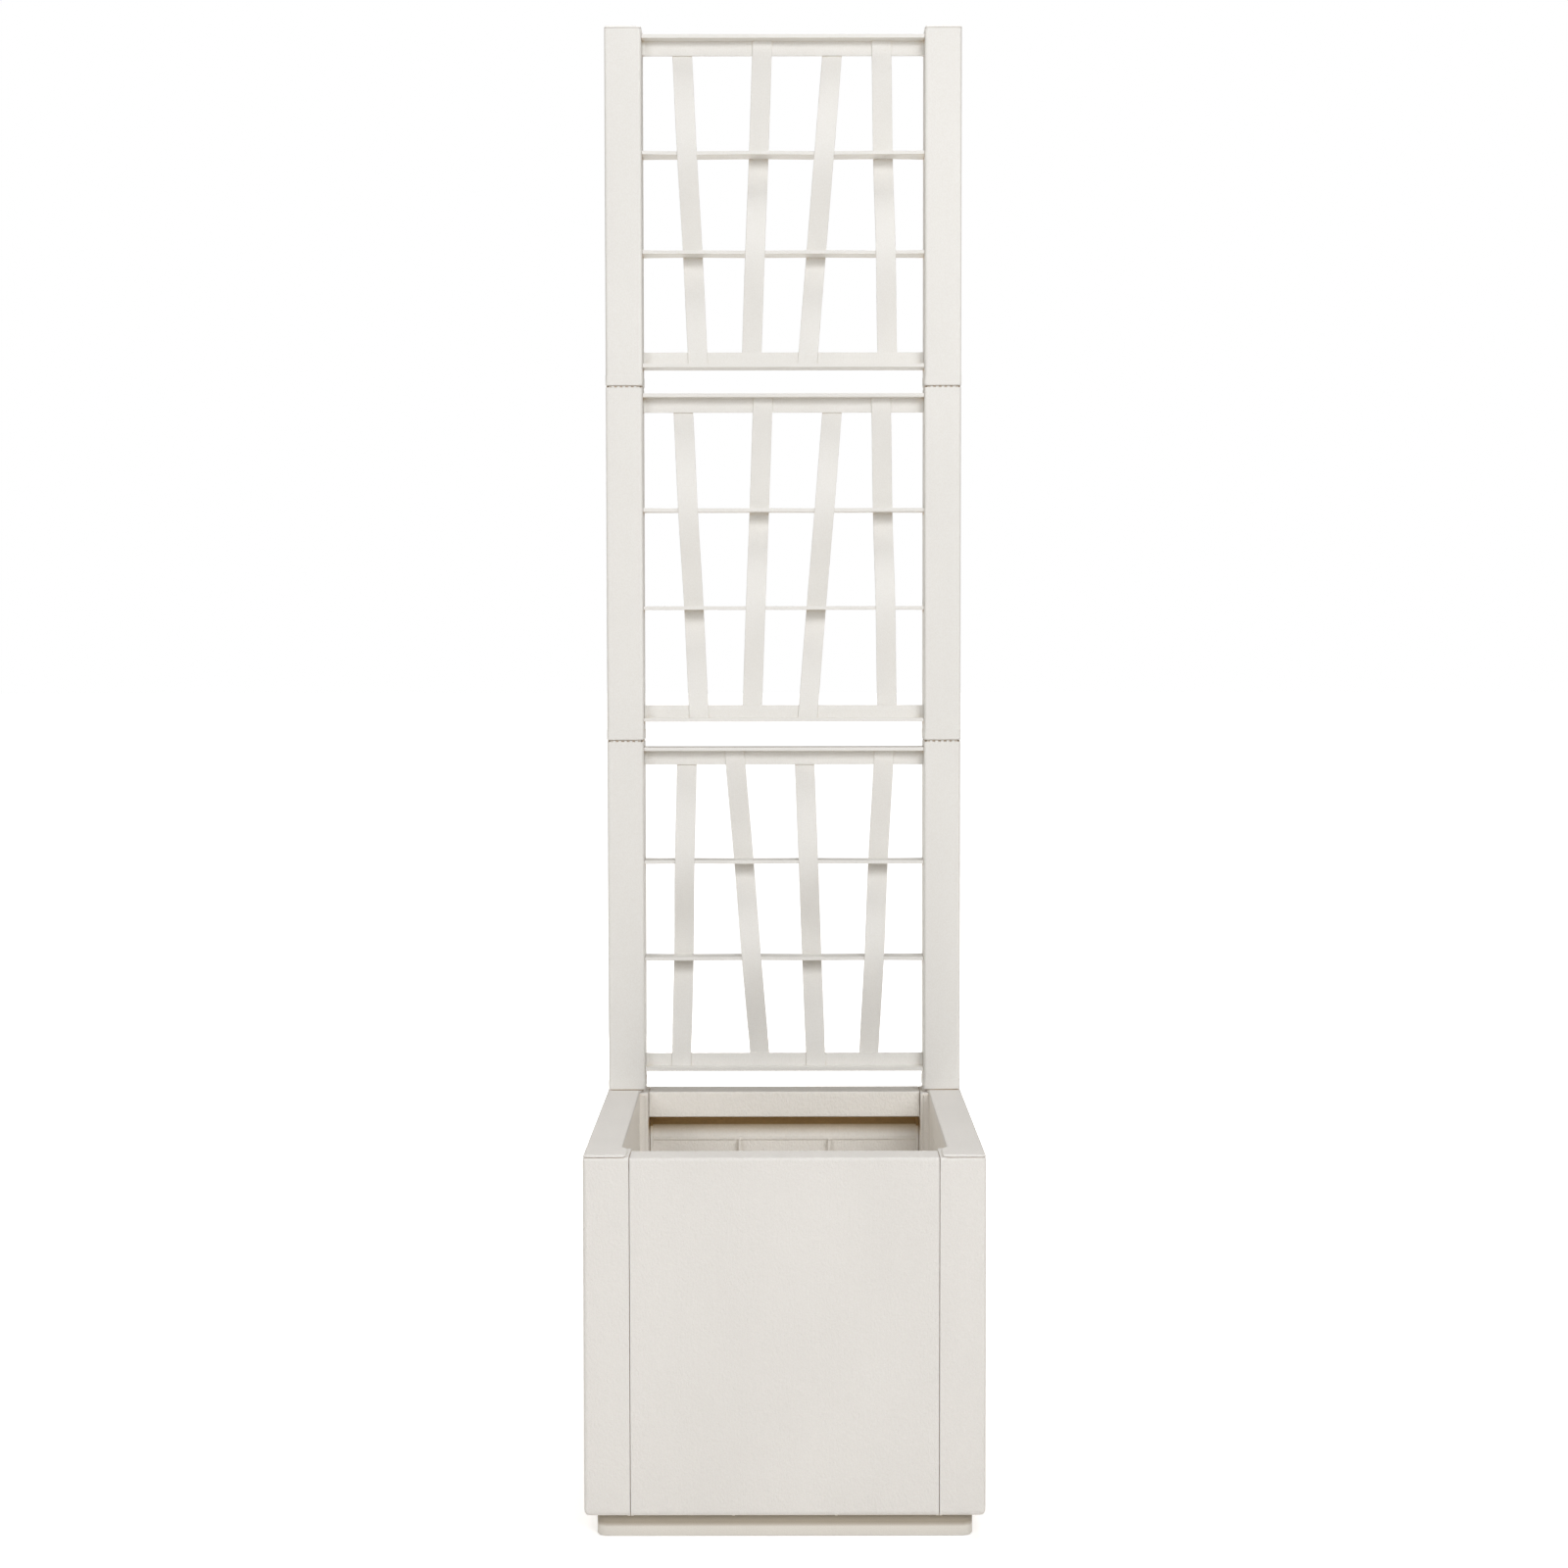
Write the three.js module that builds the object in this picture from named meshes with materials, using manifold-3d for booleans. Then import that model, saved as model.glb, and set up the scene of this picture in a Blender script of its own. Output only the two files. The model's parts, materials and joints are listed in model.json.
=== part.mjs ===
// A square moulded planter box with a three-section trellis standing on its two rear corners.
// Millimetres, +Z up. The origin is on the floor under the middle of the box.
// +X is to the right of someone facing the planter, and the front faces -Y.
import * as THREE from 'three';
import { mergeVertices } from 'three/addons/utils/BufferGeometryUtils.js';
import Module from 'manifold-3d';

const wasm = await Module();
wasm.setup();

// ---- driving dimensions: the box ----
const WIDTH = 400; // outside, along X
const DEPTH = 400; // outside, along Y
const RIM_HEIGHT = 384; // top of the corner posts and panels above the floor
const PLINTH_HEIGHT = 22.5;
const PLINTH_INSET = 12; // the plinth's face behind the box's face
const PLINTH_CORNER = 9; // its upright corners
const PLINTH_FOOT_ROUND = 1;
const PLINTH_WALL = 3;
const CORNER_POST = 46; // square section of a corner post
const WALL = 2.6; // moulded wall of posts, panels and covers
const BOX_CORNER = 5; // rounding of the upright corners
const BOX_FOOT_ROUND = 7; // rounding under the box
const BOX_TOP_ROUND = 3; // rounding round the rim
const PANEL_CORNER = 1.2; // easing of a rim's small edges
const RIM_DEPTH = 36.6; // front to back of the front and back rims, and thickness of the side panels
const RIM_DROP = 29; // how far the front and back rims turn down inside
const PANEL_LEDGE_DROP = 60; // stiffening ledge on the front and back panels, under the rim
const PANEL_LEDGE = 2.2;
const PANEL_RIBS = 2; // upright ribs inside each panel
const PANEL_RIB_DEPTH = 9;
const END_RIB_DEPTH = 12; // ribs that close a panel's two ends
const TONGUE_LENGTH = 7; // of the tongue that slides into a corner post
const TONGUE_THICKNESS = 2.4;
const TONGUE_SETBACK = 4.4; // behind the panel's face
const TONGUE_FOOT = 26; // above the tray, clear of the tray's pegs
const TONGUE_HEAD = 44; // below the rim, clear of the trellis spigots
const LAP_WIDTH = 6; // of the strip at each end of a side panel that laps a corner post
const LAP_THICKNESS = 2.4;
const LAP_DROP = 3; // below the rim
const LATCH_FORE = 92.5; // rear end of the slit that frees a latch in a side panel's inner wall
const LATCH_LENGTH = 40;
const LATCH_HEIGHT = 12;
const LATCH_DROP = 37; // foot of the slit below the rim
const SLIT = 1.2;
const CLEARANCE = 0.3; // between pieces that touch
const SEAM = 0.6; // visible joint between a corner post and a panel
const SLIDE_GAP = 0.4; // round pegs, spigots, tongues and tabs

// ---- driving dimensions: the tray ----
const DECK = 3; // floor of the tray
const TRAY_CURB = 12; // upstand inside the panels
const PEG_HEIGHT = 16; // tray pegs inside the corner posts
const PEG_MARGIN = 3.5; // in from the plinth's face
const PEG_CORNER = 3;
const TRAY_RIBS = 3; // each way under the floor
const HUB_RADIUS = 16; // round foot under the middle
const DRAIN_RADIUS = 5;
const DRAIN_PITCH = 94;
const DRAINS_PER_ROW = 2;

// ---- driving dimensions: the rim covers ----
const COVER_RAISE = 2.4; // its plate
const COVER_SIDE_INSET = 0.4;
const COVER_END_INSET = 1.5;
const COVER_EDGE = 1.8; // rounding of its upper edge
const COVER_CORNER = 5; // rounding of its corners in plan
const COVER_PAD_WIDTH = 43; // over a corner post
const COVER_PAD_LENGTH = 44;
const COVER_BLEND = 13; // where a pad runs out into the strip
const COVER_LIP = 10; // clip lips inside the side panel
const COVER_LIP_THICKNESS = 2;

// ---- driving dimensions: the trellis ----
const POST = 41; // square section of a trellis post
const POST_INSET = 1.5; // its outer faces behind the box's faces
const POST_CORNER = 3.5;
const SECTION_PITCH = 396; // from one post section's foot to the next one's
const SECTIONS = 3;
const JOINT_GAP = 1.9; // shadow line between two sections
const COLLAR_HEIGHT = 11.5;
const COLLAR_PROUD = 0.35;
const FOOT_ROUND = 1.6;
const NUBS = 5; // along each side of a joint
const NUB = 3.4;
const NUB_DEPTH = 0.9;
const NUB_SETBACK = 0.2; // outside the bore
const NUB_PITCH = 6.2;
const SPIGOT_LENGTH = 28; // it goes down into the piece below
const SPIGOT_LEAD = 2; // taper at its end
const CAP_HEIGHT = 3.4;
const CAP_ROUND = 2;
const CAP_CROWN = 0.8;
const CAP_PLUG = 16;

// ---- driving dimensions: one trellis panel ----
const PANEL_LIFT = 20.8; // its lower edge above the section's foot
const PANEL_APART = 29; // between one panel and the next
const TOP_RAIL = 20;
const BOTTOM_RAIL = 18;
const RAIL_FLANGE = 4;
const RAIL_DEPTH = 34; // front to back
const RAIL_WEB = 3;
const WEB_FLARE = 4; // where a web runs out into the posts
const BAR_THICKNESS = 3.8;
const BAR_DEPTH = 28.8;
const BAR_FLARE = 2.4; // extra half depth at the posts
const BAR_FLARE_LENGTH = 34;
const BAR_SWAY = 1.2; // the bars lean away from the laths that pass in front
const BARS = 2; // evenly spaced between the rails
const LATH_WIDTH = 22;
const LATH_THICKNESS = 3;
const LATH_EDGE = 0.7; // eased edges
const LATH_BITE = 1; // how far a lath and what it crosses run into each other
const TAB_INSET = 4; // a rail's tab is narrower than the rail by this much a side
// Each lath leans: its middle at the foot and at the head of the panel, and whether it starts in front.
const LATHS = [
  { foot: -95.5, head: -113.6, frontAtFoot: true },
  { foot: -36.2, head: -22.8, frontAtFoot: false },
  { foot: 26.5, head: 56.3, frontAtFoot: true },
  { foot: 117, head: 109.5, frontAtFoot: false },
];

// ---- smoothness ----
const ARC_STEPS = 4; // per quarter turn of the larger roundings
const SMALL_ARC_STEPS = 2; // of the small ones
const COVER_STEPS = 3;
const WEAVE_STEPS = 5; // per crossing of a lath
const BAR_STEPS = 18;
const HOLE_SIDES = 12;
const LEAST_CORNER = 0.2; // a rounded block's corner never closes up altogether
const REACH = 5; // how far a cutter runs past what it cuts

// ---- worked out from them ----
const HALF_WIDTH = WIDTH / 2;
const HALF_DEPTH = DEPTH / 2;
const BOX_FOOT = PLINTH_HEIGHT + CLEARANCE;
const POST_CENTRE_X = HALF_WIDTH - CORNER_POST / 2;
const POST_CENTRE_Y = HALF_DEPTH - CORNER_POST / 2;
const PANEL_HALF_X = HALF_WIDTH - CORNER_POST - SEAM;
const PANEL_HALF_Y = HALF_DEPTH - CORNER_POST - SEAM;
const TRELLIS_X = HALF_WIDTH - POST_INSET - POST / 2;
const TRELLIS_Y = HALF_DEPTH - POST_INSET - POST / 2;
const COVER_FOOT = RIM_HEIGHT + CLEARANCE;
const COVER_TOP = COVER_FOOT + COVER_RAISE;
const FIRST_FOOT = COVER_TOP + CLEARANCE;
const POST_BORE = POST - 2 * WALL;
const SPIGOT = POST_BORE - 2 * SLIDE_GAP;
const SOCKET = SPIGOT + 2 * SLIDE_GAP;
const NUB_NEAR = POST_BORE / 2 + NUB_SETBACK;
const NUB_FAR = NUB_NEAR + NUB_DEPTH;
const TRELLIS_HALF = TRELLIS_X - POST / 2 - CLEARANCE; // half the length of rails and bars
const PANEL_HEIGHT = SECTION_PITCH - PANEL_APART;
const BAR_PITCH = (PANEL_HEIGHT - TOP_RAIL - BOTTOM_RAIL) / (BARS + 1);
const BAR_HEIGHTS = Array.from({ length: BARS }, (_, k) => BOTTOM_RAIL + (k + 1) * BAR_PITCH);
// a lath crosses from one side of the panel to the other between each two of these heights
const WEAVE_STOPS = [BOTTOM_RAIL, ...BAR_HEIGHTS, PANEL_HEIGHT - TOP_RAIL];
const TAB_LENGTH = WALL; // into a post's slot, short of the spigot inside
const TONGUE_FROM = PLINTH_HEIGHT + TONGUE_FOOT;
const TONGUE_TO = RIM_HEIGHT - TONGUE_HEAD;

// ---- shape helpers ----
function toSolid(geometry) {
  const bare = geometry.clone();
  bare.deleteAttribute('normal');
  bare.deleteAttribute('uv');
  const merged = mergeVertices(bare, 1e-4);
  const mesh = new wasm.Mesh({
    numProp: 3,
    vertProperties: merged.attributes.position.array,
    triVerts: new Uint32Array(merged.index.array),
  });
  return new wasm.Manifold(mesh);
}

function toGeometry(solid) {
  const { vertProperties, triVerts } = solid.getMesh();
  const indexed = new THREE.BufferGeometry();
  indexed.setAttribute('position', new THREE.BufferAttribute(vertProperties, 3));
  indexed.setIndex(new THREE.BufferAttribute(triVerts, 1));
  const geometry = indexed.toNonIndexed();
  geometry.computeVertexNormals();
  return geometry;
}

function join(parts) {
  return parts.reduce((sum, part) => sum.add(part));
}

function cut(body, parts) {
  return parts.reduce((left, part) => left.subtract(part), body);
}

// A box between two corners.
function block([x0, y0, z0], [x1, y1, z1]) {
  const box = new THREE.BoxGeometry(x1 - x0, y1 - y0, z1 - z0);
  return toSolid(box.translate((x0 + x1) / 2, (y0 + y1) / 2, (z0 + z1) / 2));
}

function prism(shape, z0, z1) {
  const options = { depth: z1 - z0, bevelEnabled: false, curveSegments: ARC_STEPS };
  return toSolid(new THREE.ExtrudeGeometry(shape, options).translate(0, 0, z0));
}

function cylinder(radius, x, y, z0, z1) {
  const round = new THREE.CylinderGeometry(radius, radius, z1 - z0, HOLE_SIDES);
  return toSolid(round.rotateX(Math.PI / 2).translate(x, y, (z0 + z1) / 2));
}

// The corners of a rectangle with round corners, anticlockwise.
function roundRectPoints(halfX, halfY, radius, steps = ARC_STEPS) {
  const points = [];
  for (let corner = 0; corner < 4; corner++) {
    const sx = corner === 0 || corner === 3 ? 1 : -1;
    const sy = corner < 2 ? 1 : -1;
    for (let k = 0; k <= steps; k++) {
      const angle = ((corner + k / steps) * Math.PI) / 2;
      const x = sx * (halfX - radius) + radius * Math.cos(angle);
      const y = sy * (halfY - radius) + radius * Math.sin(angle);
      points.push(new THREE.Vector2(x, y));
    }
  }
  return points;
}

// A square ring of points at one height.
function squareRing(half, radius, steps, z) {
  return roundRectPoints(half, half, radius, steps).map((p) => new THREE.Vector3(p.x, p.y, z));
}

// Joins rings of equally many points into one closed skin; each ring is convex and flat.
function loft(rings) {
  const count = rings[0].length;
  const positions = [];
  const triangle = (a, b, c) => positions.push(...a.toArray(), ...b.toArray(), ...c.toArray());
  for (let r = 0; r + 1 < rings.length; r++) {
    for (let k = 0; k < count; k++) {
      const next = (k + 1) % count;
      triangle(rings[r][k], rings[r][next], rings[r + 1][next]);
      triangle(rings[r][k], rings[r + 1][next], rings[r + 1][k]);
    }
  }
  const first = rings[0];
  const last = rings[rings.length - 1];
  for (let k = 1; k + 1 < count; k++) {
    triangle(first[0], first[k + 1], first[k]);
    triangle(last[0], last[k], last[k + 1]);
  }
  const geometry = new THREE.BufferGeometry();
  geometry.setAttribute('position', new THREE.Float32BufferAttribute(positions, 3));
  return toSolid(mergeVertices(geometry, 1e-4));
}

// An upright block with round corners in plan and rounded lower and upper edges.
function roundedBlock({ halfX, halfY, z0, z1, corner, foot = 0, head = 0, steps = ARC_STEPS }) {
  const rings = [];
  const ring = (inset, z) => {
    const radius = Math.max(corner - inset, LEAST_CORNER);
    const points = roundRectPoints(halfX - inset, halfY - inset, radius, steps);
    rings.push(points.map((p) => new THREE.Vector3(p.x, p.y, z)));
  };
  const quarter = (radius, place) => {
    for (let k = 0; k <= steps; k++) {
      const angle = (k / steps) * (Math.PI / 2);
      place(radius * (1 - Math.sin(angle)), radius * (1 - Math.cos(angle)));
    }
  };
  if (foot > 0) quarter(foot, (inset, rise) => ring(inset, z0 + rise));
  else ring(0, z0);
  if (head > 0) {
    const upper = [];
    quarter(head, (inset, rise) => upper.unshift([inset, z1 - rise]));
    upper.forEach(([inset, z]) => ring(inset, z));
  } else ring(0, z1);
  return loft(rings);
}

// A hollow square tube, open at both ends.
function tube(outer, inner, z0, z1, corner, options = {}) {
  const half = outer / 2;
  const steps = SMALL_ARC_STEPS;
  const body = roundedBlock({ halfX: half, halfY: half, z0, z1, corner, steps, ...options });
  const bore = inner / 2;
  const innerCorner = Math.max(corner - (outer - inner) / 2, LEAST_CORNER);
  const hole = new THREE.Shape(roundRectPoints(bore, bore, innerCorner, 1));
  return cut(body, [prism(hole, z0 - REACH, z1 + REACH)]);
}

// ---- finishes ----
function resin(colour) {
  return new THREE.MeshStandardMaterial({ color: colour, roughness: 0.62, metalness: 0 });
}
const BOX_COLOUR = 0xe9e6df;
const TRELLIS_COLOUR = 0xe8e4dd;
const TRAY_COLOUR = 0xdfdad1;

const planter = new THREE.Group();

function addPiece(parent, name, solid, colour) {
  const mesh = new THREE.Mesh(toGeometry(solid), resin(colour));
  mesh.name = name;
  parent.add(mesh);
  return mesh;
}

// ---- base tray: plinth, floor, ribs, pegs and curb ----
function baseTray() {
  const halfX = HALF_WIDTH - PLINTH_INSET;
  const halfY = HALF_DEPTH - PLINTH_INSET;
  const under = PLINTH_HEIGHT - DECK;
  const curbFoot = PLINTH_HEIGHT - DECK / 2;
  const skirt = roundedBlock({
    halfX,
    halfY,
    z0: 0,
    z1: PLINTH_HEIGHT,
    corner: PLINTH_CORNER,
    foot: PLINTH_FOOT_ROUND,
    steps: SMALL_ARC_STEPS,
  });
  const hollow = roundedBlock({
    halfX: halfX - PLINTH_WALL,
    halfY: halfY - PLINTH_WALL,
    z0: -REACH,
    z1: under,
    corner: PLINTH_CORNER - PLINTH_WALL,
    steps: SMALL_ARC_STEPS,
  });
  const ribs = [];
  for (let k = 0; k < TRAY_RIBS; k++) {
    const share = (k - (TRAY_RIBS - 1) / 2) / (TRAY_RIBS + 1);
    const x = share * 2 * halfX;
    const y = share * 2 * halfY;
    const half = PLINTH_WALL / 2;
    const inX = halfX - PLINTH_WALL / 2;
    const inY = halfY - PLINTH_WALL / 2;
    ribs.push(block([x - half, -inY, 0], [x + half, inY, curbFoot]));
    ribs.push(block([-inX, y - half, 0], [inX, y + half, curbFoot]));
  }
  ribs.push(cylinder(HUB_RADIUS, 0, 0, 0, curbFoot));

  // each peg stands on the floor between its inner edge and a post's inner walls
  const peg = CORNER_POST - WALL - SLIDE_GAP - PLINTH_INSET - PEG_MARGIN;
  const pegX = HALF_WIDTH - PLINTH_INSET - PEG_MARGIN - peg / 2;
  const pegY = HALF_DEPTH - PLINTH_INSET - PEG_MARGIN - peg / 2;
  const pegs = [];
  for (const sx of [-1, 1]) {
    for (const sy of [-1, 1]) {
      const post = tube(peg, peg - 2 * WALL, curbFoot, PLINTH_HEIGHT + PEG_HEIGHT, PEG_CORNER);
      pegs.push(post.translate([sx * pegX, sy * pegY, 0]));
    }
  }

  const curbX = HALF_WIDTH - RIM_DEPTH - SLIDE_GAP;
  const curbY = HALF_DEPTH - CORNER_POST - SLIDE_GAP;
  const curbTop = PLINTH_HEIGHT + TRAY_CURB;
  const postEdgeX = HALF_WIDTH - CORNER_POST - SLIDE_GAP;
  const curb = cut(block([-curbX, -curbY, curbFoot], [curbX, curbY, curbTop]), [
    block(
      [-curbX + WALL, -curbY + WALL, curbFoot - REACH],
      [curbX - WALL, curbY - WALL, curbTop + REACH],
    ),
    // the curb stops short of the corner posts' inner corners
    ...[-1, 1].flatMap((sx) =>
      [-1, 1].map((sy) => {
        const x = [sx * (postEdgeX - WALL), sx * (curbX + REACH)].sort((a, b) => a - b);
        const y = [sy * (curbY - WALL - 2 * SLIDE_GAP), sy * (curbY + REACH)].sort((a, b) => a - b);
        return block([x[0], y[0], curbFoot - REACH], [x[1], y[1], curbTop + REACH]);
      }),
    ),
  ]);

  const drains = [];
  for (let i = 0; i < DRAINS_PER_ROW; i++) {
    for (let j = 0; j < DRAINS_PER_ROW; j++) {
      const x = (i - (DRAINS_PER_ROW - 1) / 2) * DRAIN_PITCH;
      const y = (j - (DRAINS_PER_ROW - 1) / 2) * DRAIN_PITCH;
      drains.push(cylinder(DRAIN_RADIUS, x, y, under - REACH, PLINTH_HEIGHT + REACH));
    }
  }
  return cut(join([cut(skirt, [hollow]), ...ribs, ...pegs, curb]), drains);
}

// The outside of the closed box, which rounds off the posts and panels alike.
function boxEnvelope() {
  return roundedBlock({
    halfX: HALF_WIDTH,
    halfY: HALF_DEPTH,
    z0: BOX_FOOT,
    z1: RIM_HEIGHT,
    corner: BOX_CORNER,
    foot: BOX_FOOT_ROUND,
    head: BOX_TOP_ROUND,
  });
}

// ---- corner post, drawn at the front left and turned or mirrored to the other corners ----
function cornerPost(sx, sy) {
  const half = CORNER_POST / 2;
  const bore = half - WALL;
  const centreX = sx * POST_CENTRE_X;
  const centreY = sy * POST_CENTRE_Y;
  const body = block(
    [centreX - half, centreY - half, BOX_FOOT],
    [centreX + half, centreY + half, RIM_HEIGHT],
  );
  const hollow = block(
    [centreX - bore, centreY - bore, BOX_FOOT - REACH],
    [centreX + bore, centreY + bore, RIM_HEIGHT - WALL],
  );
  const socketX = sx * TRELLIS_X;
  const socketY = sy * TRELLIS_Y;
  const socket = block(
    [socketX - SOCKET / 2, socketY - SOCKET / 2, RIM_HEIGHT - WALL - REACH],
    [socketX + SOCKET / 2, socketY + SOCKET / 2, RIM_HEIGHT + REACH],
  );
  const slotHalf = TONGUE_THICKNESS / 2 + SLIDE_GAP;
  const tongueY = sy * (HALF_DEPTH - TONGUE_SETBACK - TONGUE_THICKNESS / 2);
  const tongueX = sx * (HALF_WIDTH - TONGUE_SETBACK - TONGUE_THICKNESS / 2);
  const innerX = centreX - sx * half;
  const innerY = centreY - sy * half;
  const slots = [
    block(
      [innerX - WALL - REACH / 2, tongueY - slotHalf, TONGUE_FROM - SLIDE_GAP],
      [innerX + WALL + REACH / 2, tongueY + slotHalf, TONGUE_TO + SLIDE_GAP],
    ),
    block(
      [tongueX - slotHalf, innerY - WALL - REACH / 2, TONGUE_FROM - SLIDE_GAP],
      [tongueX + slotHalf, innerY + WALL + REACH / 2, TONGUE_TO + SLIDE_GAP],
    ),
  ];
  return cut(body, [hollow, socket, ...slots]).intersect(boxEnvelope());
}

// ---- front or back panel: a single skin under a hollow rim, with the rim's section drawn in Y and Z ----
function rimPanel(sy) {
  const face = HALF_DEPTH;
  const skin = face - WALL;
  const ledge = RIM_HEIGHT - PANEL_LEDGE_DROP;
  const r = PANEL_CORNER;
  const section = new THREE.Shape();
  section.moveTo(face, BOX_FOOT);
  section.lineTo(face, RIM_HEIGHT);
  section.lineTo(face - RIM_DEPTH + 2 * r, RIM_HEIGHT);
  section.quadraticCurveTo(face - RIM_DEPTH, RIM_HEIGHT, face - RIM_DEPTH, RIM_HEIGHT - 2 * r);
  section.lineTo(face - RIM_DEPTH, RIM_HEIGHT - RIM_DROP + r);
  section.lineTo(face - RIM_DEPTH + r, RIM_HEIGHT - RIM_DROP);
  section.lineTo(face - RIM_DEPTH + WALL, RIM_HEIGHT - RIM_DROP);
  section.lineTo(face - RIM_DEPTH + WALL, RIM_HEIGHT - WALL);
  section.lineTo(skin, RIM_HEIGHT - WALL);
  section.lineTo(skin, ledge + PANEL_LEDGE);
  section.lineTo(skin - PANEL_LEDGE, ledge + PANEL_LEDGE / 2);
  section.lineTo(skin - PANEL_LEDGE, ledge - PANEL_LEDGE / 2);
  section.lineTo(skin, ledge - PANEL_LEDGE);
  section.lineTo(skin, BOX_FOOT);
  const long = 2 * PANEL_HALF_X;
  const options = { depth: long, bevelEnabled: false, curveSegments: SMALL_ARC_STEPS };
  const extruded = new THREE.ExtrudeGeometry(section, options);
  // the section's x runs along Y, its y along Z and its depth along X
  const turn = new THREE.Matrix4().makeBasis(
    new THREE.Vector3(0, 1, 0),
    new THREE.Vector3(0, 0, 1),
    new THREE.Vector3(1, 0, 0),
  );
  const skinBody = toSolid(extruded.applyMatrix4(turn).translate(-PANEL_HALF_X, 0, 0));

  const parts = [skinBody];
  for (const sx of [-1, 1]) {
    const outer = sx * PANEL_HALF_X;
    const inner = sx * (PANEL_HALF_X - WALL);
    const [x0, x1] = [outer, inner].sort((a, b) => a - b);
    const inside = face - WALL / 2;
    const top = RIM_HEIGHT - WALL / 2;
    const rim = face - RIM_DEPTH + WALL / 2;
    parts.push(block([x0, face - END_RIB_DEPTH, BOX_FOOT], [x1, inside, top]));
    parts.push(block([x0, rim, RIM_HEIGHT - RIM_DROP], [x1, inside, top]));
    const [t0, t1] = [inner, sx * (PANEL_HALF_X + TONGUE_LENGTH)].sort((a, b) => a - b);
    const tongue = face - TONGUE_SETBACK;
    parts.push(block([t0, tongue - TONGUE_THICKNESS, TONGUE_FROM], [t1, tongue, TONGUE_TO]));
  }
  for (let k = 1; k <= PANEL_RIBS; k++) {
    const x = (k / (PANEL_RIBS + 1) - 0.5) * long;
    const half = WALL / 2;
    const low = [x - half, skin - PANEL_RIB_DEPTH, BOX_FOOT];
    parts.push(block(low, [x + half, face - WALL / 2, ledge - PANEL_LEDGE / 2]));
  }
  const back = join(parts).intersect(boxEnvelope());
  return sy > 0 ? back : back.rotate([0, 0, 180]);
}

// ---- left or right panel: double-walled, open at the top under its rim cover ----
function sidePanel(sx) {
  const outer = HALF_WIDTH;
  const inner = HALF_WIDTH - RIM_DEPTH;
  const body = block([inner, -PANEL_HALF_Y, BOX_FOOT], [outer, PANEL_HALF_Y, RIM_HEIGHT]);
  const bays = PANEL_RIBS + 1;
  const clear = 2 * (PANEL_HALF_Y - WALL);
  const bay = (clear - PANEL_RIBS * WALL) / bays;
  const hollows = [];
  for (let k = 0; k < bays; k++) {
    const y0 = -PANEL_HALF_Y + WALL + k * (bay + WALL);
    hollows.push(
      block([inner + WALL, y0, BOX_FOOT + 2 * WALL], [outer - WALL, y0 + bay, RIM_HEIGHT + REACH]),
    );
  }
  // the ribs stop below the lips of the rim cover
  const ribHead = RIM_HEIGHT - COVER_LIP - 2 * SLIDE_GAP;
  hollows.push(
    block(
      [inner + WALL, -PANEL_HALF_Y + WALL, ribHead],
      [outer - WALL, PANEL_HALF_Y - WALL, RIM_HEIGHT + REACH],
    ),
  );
  // an L-shaped slit frees a latch for the rim cover
  const slitFoot = RIM_HEIGHT - LATCH_DROP;
  const slits = [
    [LATCH_FORE - LATCH_LENGTH, slitFoot, LATCH_FORE, slitFoot + SLIT],
    [LATCH_FORE - SLIT, slitFoot, LATCH_FORE, slitFoot + LATCH_HEIGHT],
  ].map(([y0, z0, y1, z1]) =>
    block([inner - REACH, y0, z0], [inner + WALL + REACH / 2, y1, z1]),
  );
  const laps = [-1, 1].map((sy) => {
    const [y0, y1] = [sy * (PANEL_HALF_Y - LAP_THICKNESS), sy * PANEL_HALF_Y].sort((a, b) => a - b);
    return block([inner - LAP_WIDTH, y0, BOX_FOOT], [inner + WALL / 2, y1, RIM_HEIGHT - LAP_DROP]);
  });
  const tongues = [-1, 1].map((sy) => {
    const [y0, y1] = [sy * (PANEL_HALF_Y - WALL), sy * (PANEL_HALF_Y + TONGUE_LENGTH)].sort((a, b) => a - b);
    const x1 = outer - TONGUE_SETBACK;
    return block([x1 - TONGUE_THICKNESS, y0, TONGUE_FROM], [x1, y1, TONGUE_TO]);
  });
  const solid = join([body, ...laps, ...tongues]).intersect(boxEnvelope());
  const right = cut(solid, [...hollows, ...slits]);
  return sx > 0 ? right : right.rotate([0, 0, 180]);
}

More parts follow.
